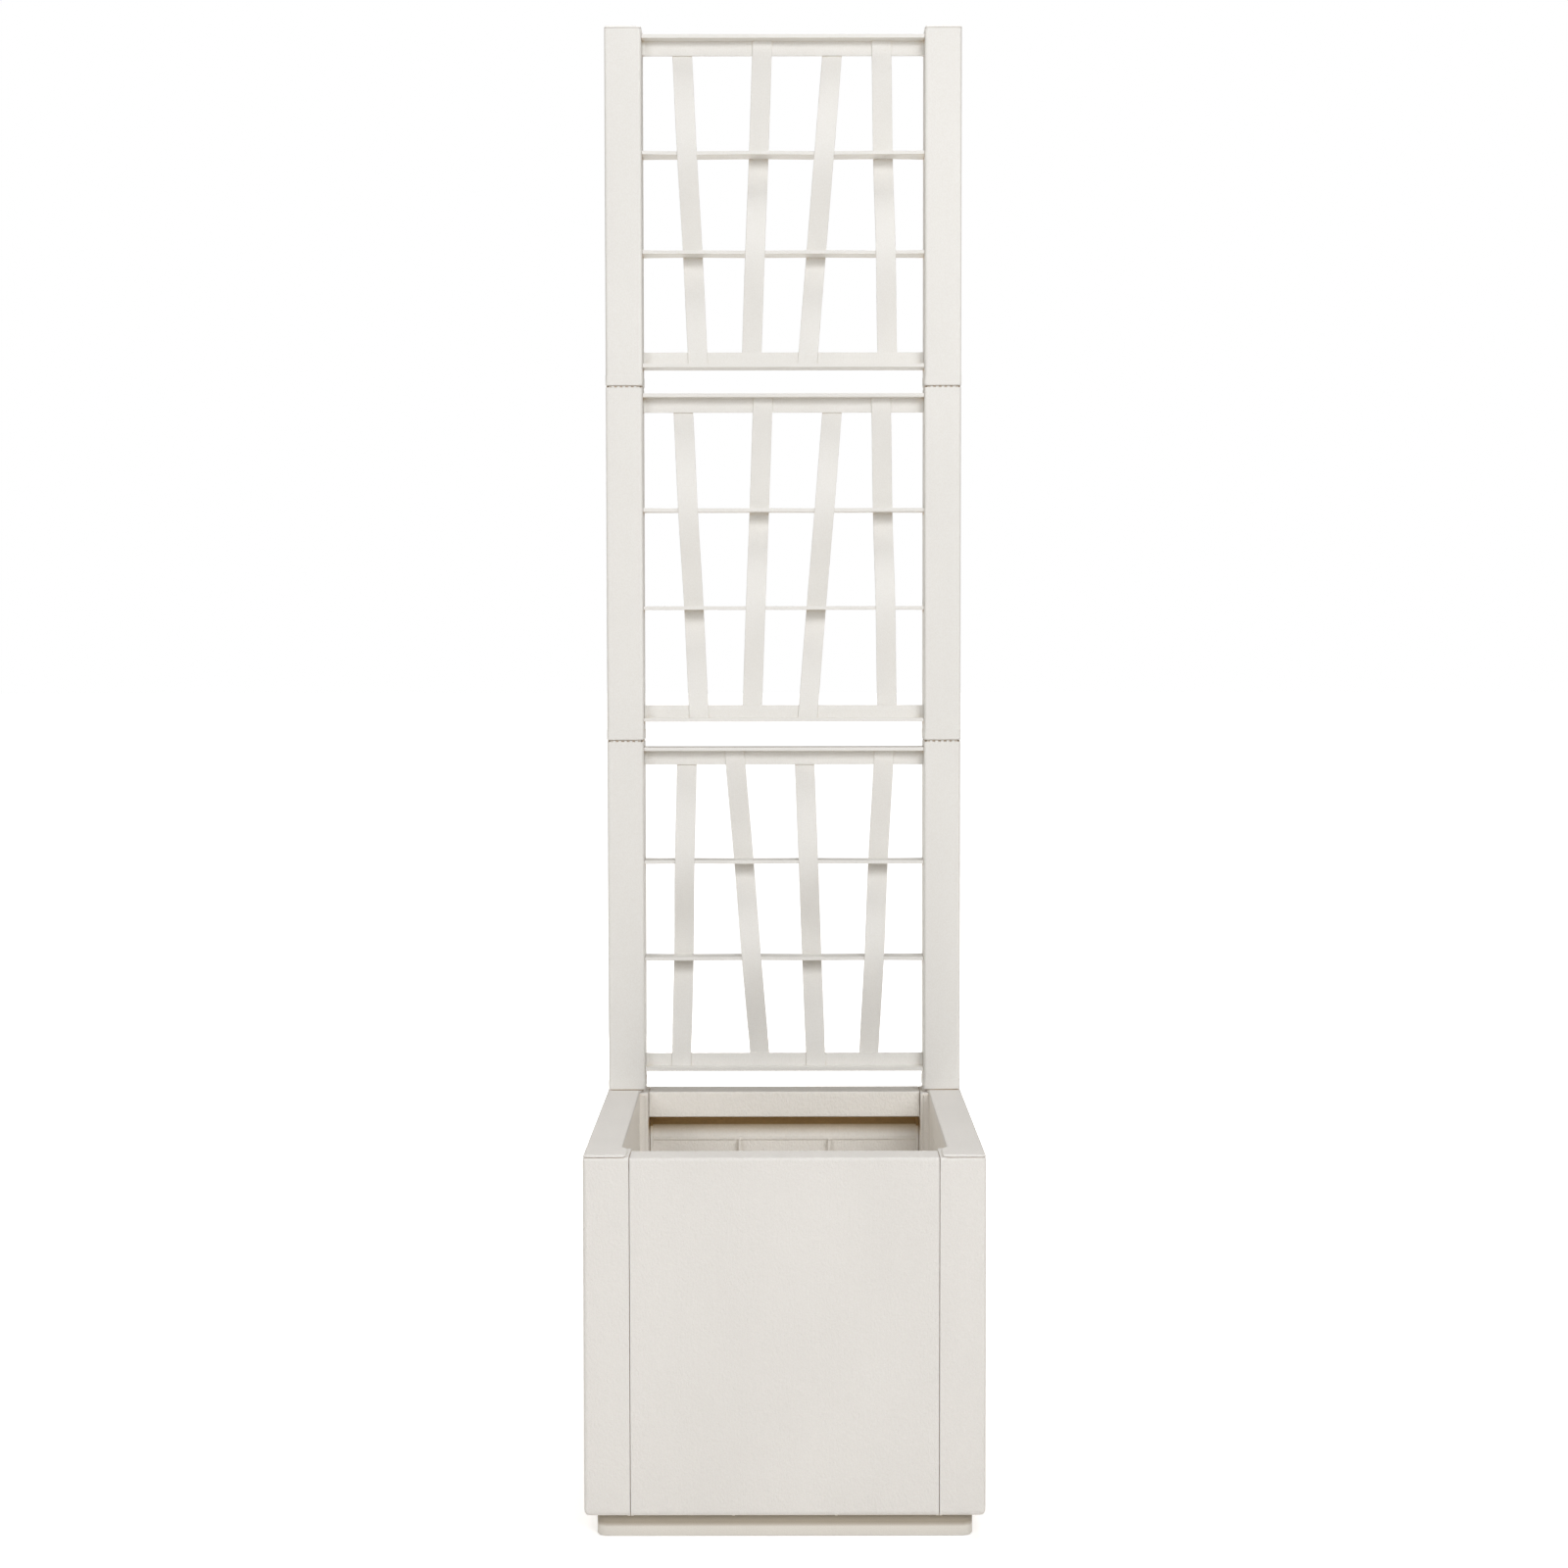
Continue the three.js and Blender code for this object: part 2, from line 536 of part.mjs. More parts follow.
// ---- rim cover: a strip over the side panel with a wider pad over each corner post ----
function rimCover(sx) {
  const outer = HALF_WIDTH - COVER_SIDE_INSET;
  const strip = HALF_WIDTH - RIM_DEPTH;
  const pad = HALF_WIDTH - COVER_PAD_WIDTH;
  const end = HALF_DEPTH - COVER_END_INSET;
  const padEnd = end - COVER_PAD_LENGTH;
  const r = COVER_CORNER;
  const outline = new THREE.Shape();
  outline.moveTo(outer - r, -end);
  outline.quadraticCurveTo(outer, -end, outer, -end + r);
  outline.lineTo(outer, end - r);
  outline.quadraticCurveTo(outer, end, outer - r, end);
  outline.lineTo(pad + r, end);
  outline.quadraticCurveTo(pad, end, pad, end - r);
  outline.lineTo(pad, padEnd + COVER_BLEND);
  const near = padEnd + COVER_BLEND / 3;
  const far = padEnd + COVER_BLEND / 2;
  outline.bezierCurveTo(pad, near, strip, far, strip, padEnd);
  outline.lineTo(strip, -padEnd);
  outline.bezierCurveTo(strip, -far, pad, -near, pad, -padEnd - COVER_BLEND);
  outline.lineTo(pad, -end + r);
  outline.quadraticCurveTo(pad, -end, pad + r, -end);
  const plate = new THREE.ExtrudeGeometry(outline, {
    depth: COVER_RAISE,
    bevelThickness: COVER_EDGE,
    bevelSize: COVER_EDGE,
    bevelOffset: -COVER_EDGE,
    bevelSegments: COVER_STEPS,
    curveSegments: COVER_STEPS,
  });
  const rounded = toSolid(plate.translate(0, 0, COVER_TOP - COVER_RAISE - COVER_EDGE));
  const below = block([-WIDTH, -DEPTH, 0], [WIDTH, DEPTH, COVER_FOOT]);
  const lipHalf = PANEL_HALF_Y - WALL - SLIDE_GAP;
  const lipFoot = RIM_HEIGHT - COVER_LIP;
  const wallIn = strip + WALL + SLIDE_GAP;
  const wallOut = HALF_WIDTH - WALL - SLIDE_GAP;
  const top = COVER_FOOT + COVER_RAISE / 2;
  const lips = [
    block([wallIn, -lipHalf, lipFoot], [wallIn + COVER_LIP_THICKNESS, lipHalf, top]),
    block([wallOut - COVER_LIP_THICKNESS, -lipHalf, lipFoot], [wallOut, lipHalf, top]),
  ];
  // the spigot of a trellis post goes through
  const hole = block(
    [TRELLIS_X - SOCKET / 2, TRELLIS_Y - SOCKET / 2, COVER_FOOT - REACH],
    [TRELLIS_X + SOCKET / 2, TRELLIS_Y + SOCKET / 2, COVER_TOP + REACH],
  );
  const right = cut(join([cut(rounded, [below]), ...lips]), [hole]);
  return sx > 0 ? right : right.mirror([1, 0, 0]);
}

// Heights above the panel's lower edge and sizes of the tabs that enter each post.
function tabs() {
  const railTab = { width: RAIL_DEPTH - 2 * TAB_INSET, height: RAIL_FLANGE };
  const barTab = { width: BAR_DEPTH - 2 * TAB_INSET, height: BAR_THICKNESS };
  return [
    { z: RAIL_FLANGE / 2, ...railTab },
    ...BAR_HEIGHTS.map((z) => ({ z, ...barTab })),
    { z: PANEL_HEIGHT - RAIL_FLANGE / 2, ...railTab },
  ];
}

// ---- trellis post section, on its own axis with its foot at 0; slots face +X ----
function postSection() {
  const top = SECTION_PITCH - JOINT_GAP;
  const shaft = tube(POST, POST_BORE, 0, top, POST_CORNER);
  const collarWidth = POST + 2 * COLLAR_PROUD;
  const collar = tube(collarWidth, POST_BORE, 0, COLLAR_HEIGHT, POST_CORNER, { foot: FOOT_ROUND });
  const collarSkirt = tube(collarWidth + REACH, POST_BORE - REACH, -REACH, COLLAR_HEIGHT, POST_CORNER);
  const spigotHalf = SPIGOT / 2;
  const spigotBore = spigotHalf - WALL;
  const spigotRings = [
    [SPIGOT_LEAD / 2, -SPIGOT_LENGTH],
    [0, -SPIGOT_LENGTH + SPIGOT_LEAD],
    [0, COLLAR_HEIGHT],
  ].map(([inset, z]) => squareRing(spigotHalf - inset, 1, 1, z));
  const hole = new THREE.Shape(roundRectPoints(spigotBore, spigotBore, 1, 1));
  const drill = prism(hole, -SPIGOT_LENGTH - REACH, COLLAR_HEIGHT + REACH);
  const spigot = cut(loft(spigotRings), [drill]);
  // a shelf inside the collar carries the spigot
  const shelf = tube(POST_BORE + WALL, SPIGOT - WALL, COLLAR_HEIGHT - WALL, COLLAR_HEIGHT, 1);
  const slots = tabs().map(({ z, width, height }) => {
    const middle = PANEL_LIFT + z;
    return block(
      [POST / 2 - WALL - REACH / 2, -width / 2 - SLIDE_GAP, middle - height / 2 - SLIDE_GAP],
      [POST / 2 + REACH, width / 2 + SLIDE_GAP, middle + height / 2 + SLIDE_GAP],
    );
  });
  const collared = join([cut(shaft, [collarSkirt]), collar]);
  return cut(join([collared, shelf, spigot]), slots);
}

// Short studs on a section's upper edge keep the shadow line open under the next section.
function nubs() {
  const made = [];
  const foot = SECTION_PITCH - JOINT_GAP - WALL;
  for (let side = 0; side < 4; side++) {
    for (let k = 0; k < NUBS; k++) {
      const middle = (k - (NUBS - 1) / 2) * NUB_PITCH;
      const nub = block(
        [middle - NUB / 2, -NUB_FAR, foot],
        [middle + NUB / 2, -NUB_NEAR, SECTION_PITCH - CLEARANCE],
      );
      made.push(nub.rotate([0, 0, side * 90]));
    }
  }
  return made;
}

// ---- trellis panel, centred on X and Y with its lower edge at 0 ----
function weaveDepth(frontAtFoot, z) {
  const atRail = RAIL_WEB / 2 + LATH_THICKNESS / 2 - LATH_BITE;
  const atBar = BAR_DEPTH / 2 - BAR_SWAY + LATH_THICKNESS / 2 - LATH_BITE;
  const side = frontAtFoot ? -1 : 1;
  const last = WEAVE_STOPS.length - 1;
  const stations = WEAVE_STOPS.map((stop, k) => {
    const reach = k === 0 || k === last ? atRail : atBar;
    return [stop, k % 2 === 0 ? side * reach : -side * reach];
  });
  if (z <= stations[0][0]) return stations[0][1];
  for (let k = 1; k < stations.length; k++) {
    const [z0, y0] = stations[k - 1];
    const [z1, y1] = stations[k];
    if (z <= z1) return y0 + ((y1 - y0) * (1 - Math.cos((Math.PI * (z - z0)) / (z1 - z0)))) / 2;
  }
  return stations[last][1];
}

function lath({ foot, head, frontAtFoot }) {
  const low = RAIL_FLANGE / 2;
  const high = PANEL_HEIGHT - RAIL_FLANGE / 2;
  const heights = [low];
  for (let k = 0; k + 1 < WEAVE_STOPS.length; k++) {
    for (let s = 0; s < WEAVE_STEPS; s++) {
      heights.push(WEAVE_STOPS[k] + (BAR_PITCH * s) / WEAVE_STEPS);
    }
  }
  heights.push(PANEL_HEIGHT - TOP_RAIL, high);
  const section = roundRectPoints(LATH_WIDTH / 2, LATH_THICKNESS / 2, LATH_EDGE, 1);
  const rings = heights.map((z) => {
    const x = foot + ((head - foot) * z) / PANEL_HEIGHT;
    const y = weaveDepth(frontAtFoot, z);
    return section.map((p) => new THREE.Vector3(x + p.x, y + p.y, z));
  });
  return loft(rings);
}

// A flat bar whose edges sway away from each lath that crosses it, and spread towards the posts.
function bar(level) {
  const z = BAR_HEIGHTS[level];
  const crossings = LATHS.map(({ foot, head, frontAtFoot }) => ({
    x: foot + ((head - foot) * z) / PANEL_HEIGHT,
    sway: weaveDepth(frontAtFoot, z) < 0 ? BAR_SWAY : -BAR_SWAY,
  }));
  const knots = [{ x: -TRELLIS_HALF, sway: 0 }, ...crossings, { x: TRELLIS_HALF, sway: 0 }];
  const swayAt = (x) => {
    const k = Math.max(1, knots.findIndex((knot) => knot.x >= x));
    const [a, b] = [knots[k - 1], knots[k]];
    return a.sway + ((b.sway - a.sway) * (1 - Math.cos((Math.PI * (x - a.x)) / (b.x - a.x)))) / 2;
  };
  const halfDepth = (x) => {
    const run = Math.max(0, (Math.abs(x) - TRELLIS_HALF + BAR_FLARE_LENGTH) / BAR_FLARE_LENGTH);
    return BAR_DEPTH / 2 + BAR_FLARE * run * run;
  };
  const front = [];
  const back = [];
  for (let s = 0; s <= BAR_STEPS; s++) {
    const x = -TRELLIS_HALF + (2 * TRELLIS_HALF * s) / BAR_STEPS;
    front.push(new THREE.Vector2(x, swayAt(x) - halfDepth(x)));
    back.unshift(new THREE.Vector2(x, swayAt(x) + halfDepth(x)));
  }
  return prism(new THREE.Shape([...front, ...back]), z - BAR_THICKNESS / 2, z + BAR_THICKNESS / 2);
}

// A rail is a flange with a web at its middle that flares out at the posts.
function rail(z0, z1, flangeLow) {
  const half = RAIL_DEPTH / 2;
  const flange = flangeLow ? [z0, z0 + RAIL_FLANGE] : [z1 - RAIL_FLANGE, z1];
  const plate = block([-TRELLIS_HALF, -half, flange[0]], [TRELLIS_HALF, half, flange[1]]);
  const web = new THREE.Shape();
  const w = RAIL_WEB / 2;
  const e = TRELLIS_HALF;
  const f = WEB_FLARE;
  web.moveTo(-e, -w - f);
  web.quadraticCurveTo(-e + f / 4, -w, -e + f, -w);
  web.lineTo(e - f, -w);
  web.quadraticCurveTo(e - f / 4, -w, e, -w - f);
  web.lineTo(e, w + f);
  web.quadraticCurveTo(e - f / 4, w, e - f, w);
  web.lineTo(-e + f, w);
  web.quadraticCurveTo(-e + f / 4, w, -e, w + f);
  return plate.add(prism(web, z0, z1));
}

function trellisPanel() {
  const ends = tabs().flatMap(({ z, width, height }) => {
    const out = TRELLIS_HALF + TAB_LENGTH;
    const into = TRELLIS_HALF - TAB_LENGTH;
    const [y0, y1] = [-width / 2, width / 2];
    const [z0, z1] = [z - height / 2, z + height / 2];
    return [
      block([-out, y0, z0], [-into, y1, z1]),
      block([into, y0, z0], [out, y1, z1]),
    ];
  });
  return join([
    rail(0, BOTTOM_RAIL, true),
    rail(PANEL_HEIGHT - TOP_RAIL, PANEL_HEIGHT, false),
    ...BAR_HEIGHTS.map((z, level) => bar(level)),
    ...LATHS.map(lath),
    ...ends,
  ]);
}

// ---- post cap: a crowned plate with a plug inside the top of the post ----
function postCap() {
  const half = POST / 2;
  const plate = roundedBlock({
    halfX: half,
    halfY: half,
    z0: 0,
    z1: CAP_HEIGHT - CAP_CROWN,
    corner: POST_CORNER,
    head: CAP_ROUND,
    steps: COVER_STEPS,
  });
  const shoulder = CAP_HEIGHT - CAP_CROWN;
  const crownRings = [
    [CAP_ROUND, shoulder - CAP_ROUND / 2],
    [CAP_ROUND, shoulder],
    [half / 2, CAP_HEIGHT],
  ].map(([inset, z]) => squareRing(half - inset, POST_CORNER / 2, 1, z));
  const crown = loft(crownRings);
  const plug = tube(SPIGOT, SPIGOT - 2 * WALL, -CAP_PLUG, CAP_ROUND / 2, 1);
  // a groove in the underside takes the studs on the post
  const groove = tube(2 * (NUB_FAR + SLIDE_GAP), SPIGOT, -REACH, JOINT_GAP - CLEARANCE, 1);
  return join([cut(plate, [groove]), crown, plug]);
}

// ---- assembly ----
const SIDES = [
  { name: 'left', s: -1 },
  { name: 'right', s: 1 },
];
const ENDS = [
  { name: 'front', s: -1 },
  { name: 'rear', s: 1 },
];
const LEVELS = ['lower', 'middle', 'upper'].slice(0, SECTIONS);

const box = new THREE.Group();
planter.add(box);
addPiece(box, 'base_tray', baseTray(), TRAY_COLOUR);
for (const end of ENDS) {
  for (const side of SIDES) {
    addPiece(box, `corner_post_${end.name}_${side.name}`, cornerPost(side.s, end.s), BOX_COLOUR);
  }
}
addPiece(box, 'front_panel', rimPanel(-1), BOX_COLOUR);
addPiece(box, 'back_panel', rimPanel(1), BOX_COLOUR);
for (const side of SIDES) {
  addPiece(box, `side_panel_${side.name}`, sidePanel(side.s), BOX_COLOUR);
  addPiece(box, `rim_cover_${side.name}`, rimCover(side.s), BOX_COLOUR);
}

const sectionSolid = join([postSection(), ...nubs()]);
const panelSolid = trellisPanel();
const trellis = new THREE.Group();
trellis.position.set(0, TRELLIS_Y, FIRST_FOOT);
planter.add(trellis);
LEVELS.forEach((level, k) => {
  const section = new THREE.Group();
  section.position.z = k * SECTION_PITCH;
  trellis.add(section);
  for (const side of SIDES) {
    const name = `trellis_post_${side.name}_${level}`;
    const post = addPiece(section, name, sectionSolid, TRELLIS_COLOUR);
    post.position.x = side.s * TRELLIS_X;
    post.rotation.z = side.s < 0 ? 0 : Math.PI;
  }
  const panel = addPiece(section, `trellis_panel_${level}`, panelSolid, TRELLIS_COLOUR);
  panel.position.z = PANEL_LIFT;
  // the lowest panel is fitted back to front
  panel.rotation.z = k === 0 ? Math.PI : 0;
});
for (const side of SIDES) {
  const cap = addPiece(trellis, `post_cap_${side.name}`, postCap(), TRELLIS_COLOUR);
  cap.position.x = side.s * TRELLIS_X;
  cap.position.z = SECTIONS * SECTION_PITCH - JOINT_GAP + CLEARANCE;
}

export default planter;
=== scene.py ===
# Looks, light and camera for the planter with its trellis.
# Metres, +Z up, the front of the planter faces -Y.
import json
import math

import bpy
from mathutils import Matrix, Vector


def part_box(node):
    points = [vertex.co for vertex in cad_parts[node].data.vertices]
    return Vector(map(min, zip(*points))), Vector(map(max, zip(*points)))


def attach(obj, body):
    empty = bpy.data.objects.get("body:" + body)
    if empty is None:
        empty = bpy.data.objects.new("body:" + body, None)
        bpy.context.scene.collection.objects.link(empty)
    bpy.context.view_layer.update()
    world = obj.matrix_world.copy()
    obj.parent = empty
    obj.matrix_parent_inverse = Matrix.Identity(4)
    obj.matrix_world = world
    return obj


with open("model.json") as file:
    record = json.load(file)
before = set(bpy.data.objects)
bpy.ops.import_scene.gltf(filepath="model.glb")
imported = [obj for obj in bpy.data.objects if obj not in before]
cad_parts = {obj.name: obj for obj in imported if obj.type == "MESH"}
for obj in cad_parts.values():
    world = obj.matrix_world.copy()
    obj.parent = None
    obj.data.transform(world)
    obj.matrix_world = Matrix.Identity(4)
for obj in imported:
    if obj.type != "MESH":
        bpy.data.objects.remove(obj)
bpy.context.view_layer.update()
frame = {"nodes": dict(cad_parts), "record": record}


# ---- node trees ----
WHITE = (1.0, 1.0, 1.0)
MIX_FIRST, MIX_SECOND, MIX_RESULT = 6, 7, 2  # a mix node's sockets for colours


def srgb(r, g, b):
    """An 8-bit sRGB colour as linear numbers."""
    def linear(v):
        v /= 255
        return v / 12.92 if v <= 0.04045 else ((v + 0.055) / 1.055) ** 2.4
    return (linear(r), linear(g), linear(b))


class Nodes:
    """A short way to build the node tree of a material or a world."""

    def __init__(self, owner):
        owner.use_nodes = True
        self.tree = owner.node_tree
        self.tree.nodes.clear()

    def add(self, kind, **settings):
        node = self.tree.nodes.new(kind)
        for key, value in settings.items():
            setattr(node, key, value)
        return node

    def link(self, source, target):
        self.tree.links.new(source, target)

    def finish(self, shader, kind="ShaderNodeOutputMaterial"):
        self.link(shader.outputs[0], self.add(kind).inputs["Surface"])

    def reckon(self, operation, *values, clamp=False):
        """Arithmetic or a test on plain numbers and sockets."""
        node = self.add("ShaderNodeMath", operation=operation, use_clamp=clamp)
        for socket, value in zip(node.inputs, values):
            if isinstance(value, float):
                socket.default_value = value
            else:
                self.link(value, socket)
        return node.outputs[0]

    def below(self, value, limit):
        """1 where a value is less than a limit, and 0 elsewhere."""
        return self.reckon("LESS_THAN", value, limit)

    def close(self, value, limit):
        """1 where a value is nearer to zero than a limit, and 0 elsewhere."""
        return self.below(self.reckon("ABSOLUTE", value), limit)

    def all_of(self, first, *others):
        for other in others:
            first = self.reckon("MULTIPLY", first, other)
        return first

    def rescale(self, value, old, new=(0.0, 1.0), **settings):
        """Carries a value from one (low, high) range to another, and holds it at the ends."""
        node = self.add("ShaderNodeMapRange", **settings)
        node.inputs["From Min"].default_value, node.inputs["From Max"].default_value = old
        node.inputs["To Min"].default_value, node.inputs["To Max"].default_value = new
        self.link(value, node.inputs["Value"])
        return node.outputs["Result"]

    def split(self, vector):
        node = self.add("ShaderNodeSeparateXYZ")
        self.link(vector, node.inputs[0])
        return node.outputs

    def where(self):
        return self.add("ShaderNodeTexCoord").outputs["Object"]

    def facing(self):
        return self.add("ShaderNodeNewGeometry").outputs["Normal"]

    def noise(self, coordinates, scale, detail=3.0, roughness=0.5):
        """Noise with a scale per axis, in features per metre."""
        mapping = self.add("ShaderNodeMapping")
        mapping.inputs["Scale"].default_value = scale
        self.link(coordinates, mapping.inputs["Vector"])
        node = self.add("ShaderNodeTexNoise")
        node.inputs["Scale"].default_value = 1.0
        node.inputs["Detail"].default_value = detail
        node.inputs["Roughness"].default_value = roughness
        self.link(mapping.outputs["Vector"], node.inputs["Vector"])
        return node.outputs["Fac"]

    def ramp(self, value, *stops):
        """A colour ramp through (position, colour) stops."""
        node = self.add("ShaderNodeValToRGB")
        made = node.color_ramp.elements
        for element, (position, colour) in zip((made[0], made[1]), (stops[0], stops[-1])):
            element.position, element.color = position, (*colour, 1)
        for position, colour in stops[1:-1]:
            made.new(position).color = (*colour, 1)
        self.link(value, node.inputs["Fac"])
        return node.outputs["Color"]

    def multiplied(self, colour, tint, factor=None):
        node = self.add("ShaderNodeMix", data_type="RGBA", blend_type="MULTIPLY")
        node.inputs["Factor"].default_value = 1.0
        if factor:
            self.link(factor, node.inputs["Factor"])
        self.link(colour, node.inputs[MIX_FIRST])
        self.link(tint, node.inputs[MIX_SECOND])
        return node.outputs[MIX_RESULT]

    def bump(self, height, distance, normal):
        node = self.add("ShaderNodeBump")
        node.inputs["Strength"].default_value = 1.0
        node.inputs["Distance"].default_value = distance
        self.link(height, node.inputs["Height"])
        self.link(normal, node.inputs["Normal"])
        return node.outputs["Normal"]


# ---- light and shade painted by place ----
UPRIGHT = 0.5  # an upright face's normal rises or falls by less than this


def painted_shade_near_floor(n, colour, top, stops):
    """Paints shade onto upright faces below a height, through stops that run from the floor up to
    it.
    """
    height = n.split(n.where())["Z"]
    where = n.all_of(n.close(n.split(n.facing())["Z"], UPRIGHT), n.below(height, top))
    return n.multiplied(colour, n.ramp(n.rescale(height, (0.0, top)), *stops), where)


def painted_bounce_light(n, colour, half_width, half_depth, top, tint):
    """Paints light onto what lies inside the box: it is made paler and warmer, standing in for
    light bounced within the box.
    """
    place = n.split(n.where())
    where = n.all_of(
        n.close(place["X"], half_width),
        n.close(place["Y"], half_depth),
        n.below(place["Z"], top),
    )
    warm = n.add("ShaderNodeRGB")
    warm.outputs[0].default_value = (*tint, 1)
    return n.multiplied(colour, warm.outputs[0], where)


def painted_shade_under_rims(n, colour, half_width, near, far, low, top, stops):
    """Paints shade onto the walls that stand back under the front and back rims, through stops
    that run from low up to top. near and far bound the walls' distance from the box's middle."""
    place = n.split(n.where())
    where = n.all_of(
        n.reckon("SUBTRACT", 1.0, n.close(place["Y"], near)),
        n.close(place["X"], half_width),
        n.close(place["Y"], far),
        n.below(place["Z"], top),
        n.close(n.split(n.facing())["Z"], UPRIGHT),
    )
    return n.multiplied(colour, n.ramp(n.rescale(place["Z"], (low, top)), *stops), where)


def occlusion_shade(n, colour, reach, stops, upward=False):
    """Paints shade into a colour by how open its place is within reach, around its own normal or,
    with upward, towards the sky."""
    openness = n.add("ShaderNodeAmbientOcclusion", samples=12)
    openness.inputs["Distance"].default_value = reach
    if upward:
        up = n.add("ShaderNodeCombineXYZ")
        up.inputs["Z"].default_value = 1.0
        n.link(up.outputs[0], openness.inputs["Normal"])
    return n.multiplied(colour, n.ramp(openness.outputs["AO"], *stops))


# ---- resins ----
FLECKS, PORES = (420, 420, 260), (1000, 1000, 600)  # features per metre on each axis
STREAKS, CLOUDS = (260, 260, 22), (9, 9, 5)
STREAK_WEIGHT = 0.3  # against the flecks
NOISE_SPAN = (0.3, 0.7)  # where nearly all of the noise lies
CLOUD_LOW, CLOUD_HIGH = 0.35, 0.65
PORE_TINT = srgb(251, 250, 249)
RIM_LINE, RIM_BLEND = 0.37, 0.001  # edges above this height take the rims' rounding


def resin(name, pale, deep, grain, pore, matt, edge, painted_shading, rim_edge=None):
    """Moulded resin: a fine upright grain, faint colour clouds, softly rounded edges and light and
    shade painted by place. grain and pore are bump heights and edge and rim_edge roundings, in
    metres, and matt is the lowest and highest roughness."""
    material = bpy.data.materials.new(name)
    n = Nodes(material)
    where = n.where()
    flecks = n.noise(where, FLECKS, roughness=0.6)
    pores = n.noise(where, PORES, detail=2.0)
    streaks = n.noise(where, STREAKS, roughness=0.6)
    clouds = n.noise(where, CLOUDS)

    colour = n.ramp(clouds, (CLOUD_LOW, deep), (CLOUD_HIGH, pale))
    colour = n.multiplied(colour, n.ramp(pores, (CLOUD_LOW, PORE_TINT), (CLOUD_HIGH, WHITE)))
    for tinting, how in painted_shading:
        colour = tinting(n, colour, **how)

    rounded = n.add("ShaderNodeBevel", samples=6)
    rounded.inputs["Radius"].default_value = edge
    if rim_edge:
        height = n.split(where)["Z"]
        radius = n.rescale(height, (RIM_LINE, RIM_LINE + RIM_BLEND), (edge, rim_edge))
        n.link(radius, rounded.inputs["Radius"])
    relief = n.reckon("MULTIPLY_ADD", streaks, STREAK_WEIGHT, flecks)
    grained = n.bump(relief, grain, rounded.outputs["Normal"])

    shader = n.add("ShaderNodeBsdfPrincipled")
    shader.inputs["Specular IOR Level"].default_value = 0.35
    n.link(colour, shader.inputs["Base Color"])
    n.link(n.rescale(flecks, NOISE_SPAN, matt), shader.inputs["Roughness"])
    n.link(n.bump(pores, pore, grained), shader.inputs["Normal"])
    n.finish(shader)
    return material


# how open a place is, and the shade painted into its colour there
SHADE_IN_HOLLOWS = [
    (0.05, (0.82, 0.62, 0.40)),
    (0.22, (0.95, 0.86, 0.75)),
    (0.34, (0.99, 0.98, 0.96)),
    (0.44, WHITE),
]
# painted shade under the trellis rails' flanges and bars
SHADE_UNDER_RAILS = [
    (0.00, (0.72, 0.58, 0.42)),
    (0.10, (0.92, 0.86, 0.78)),
    (0.22, WHITE),
]
# how far up a band of painted shade a place is, and the shade painted there
SHADE_UNDER_RIMS = [
    (0.38, WHITE),
    (0.56, (0.89, 0.82, 0.73)),
    (0.66, (0.74, 0.63, 0.48)),
    (0.70, (0.40, 0.26, 0.11)),
    (0.86, (0.56, 0.36, 0.16)),
]
# painted shadow of the box's overhang on the tray's upright faces
SHADE_UNDER_BOX = [
    (0.42, (0.99, 0.985, 0.965)),
    (0.53, (0.66, 0.62, 0.56)),
    (0.62, (0.50, 0.455, 0.385)),
    (1.00, (0.54, 0.50, 0.43)),
]
# painted light: the inside of the box is made paler and warmer in place of light bounced within it
BOUNCE_LIGHT_INSIDE = dict(half_width=0.1965, half_depth=0.1982, top=0.3835, tint=(1.15, 1.135, 1.105))
RIM_SHADE = dict(
    half_width=0.163, near=0.16, far=0.199, low=0.315, top=0.352, stops=SHADE_UNDER_RIMS
)

LOOKS = {
    "box_resin": resin(
        "box_resin", pale=srgb(233, 230, 225), deep=srgb(230, 227, 222),
        grain=0.001, pore=0.0002, matt=(0.48, 0.62), edge=0.0005, rim_edge=0.002,
        painted_shading=[
            (painted_bounce_light, BOUNCE_LIGHT_INSIDE),
            (occlusion_shade, dict(reach=0.03, stops=SHADE_IN_HOLLOWS)),
            (painted_shade_under_rims, RIM_SHADE),
        ],
    ),
    "trellis_resin": resin(
        "trellis_resin", pale=srgb(234, 232, 227), deep=srgb(231, 229, 224),
        grain=0.00008, pore=0.00004, matt=(0.46, 0.56), edge=0.0004,
        painted_shading=[
            (occlusion_shade, dict(reach=0.02, stops=SHADE_IN_HOLLOWS)),
            (occlusion_shade, dict(reach=0.007, stops=SHADE_UNDER_RAILS, upward=True)),
        ],
    ),
    "tray_resin": resin(
        "tray_resin", pale=srgb(233, 229, 222), deep=srgb(230, 226, 219),
        grain=0.0002, pore=0.00006, matt=(0.5, 0.62), edge=0.0009,
        painted_shading=[(painted_shade_near_floor, dict(top=0.0226, stops=SHADE_UNDER_BOX))],
    ),
}


# ---- the CAD's pieces ----
WELD_REACH = 1e-6
CREASE = math.radians(50)  # edges sharper than this stay sharp


def dress(node, slot):
    """Gives a CAD node its material, and smooth shading wherever its faces turn gently."""
    piece = frame["nodes"][node]
    piece.data.materials.clear()
    piece.data.materials.append(LOOKS[slot])
    weld = piece.modifiers.new("weld", "WELD")
    weld.merge_threshold = WELD_REACH
    creases = piece.modifiers.new("creases", "EDGE_SPLIT")
    creases.split_angle = CREASE
    weighted = piece.modifiers.new("weighted", "WEIGHTED_NORMAL")
    weighted.weight = 100
    piece.data.polygons.foreach_set("use_smooth", [True] * len(piece.data.polygons))


for entry in frame["record"]["subparts"]:
    dress(entry["node"], entry["material_slot"])


